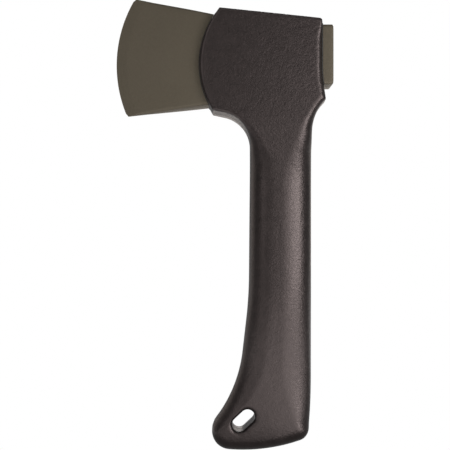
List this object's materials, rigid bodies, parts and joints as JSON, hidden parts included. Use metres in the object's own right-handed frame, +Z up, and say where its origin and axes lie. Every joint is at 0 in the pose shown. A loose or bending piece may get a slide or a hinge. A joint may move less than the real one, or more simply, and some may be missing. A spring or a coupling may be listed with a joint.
{
  "type": "hatchet",
  "caption": "Compact camping hatchet: coated forged head with a curved edge and a flat poll, held in the loop of a hollow moulded handle with a flared butt and a lanyard slot",
  "frame": {"origin": "bottom centre of the bounding box: mid thickness, halfway from the cutting edge to the poll face, level with the lowest point of the butt", "axes": "+Z runs up the handle from the butt to the head, -X points to the cutting edge, +X points out of the poll face, and Y is the thickness, with the parting plane of the handle at Y = 0"},
  "size_m": [0.114, 0.028, 0.2383],
  "materials": {
    "head_coating": "matte olive-grey baked coating on forged steel",
    "bed_resin": "dark filled resin",
    "handle_nylon": "fine-grained satin black glass-filled nylon"
  },
  "bodies": {
    "root": {"axe_head": "head_coating", "head_bed": "bed_resin", "handle_front_half": "handle_nylon", "handle_back_half": "handle_nylon"}
  },
  "joints": []
}
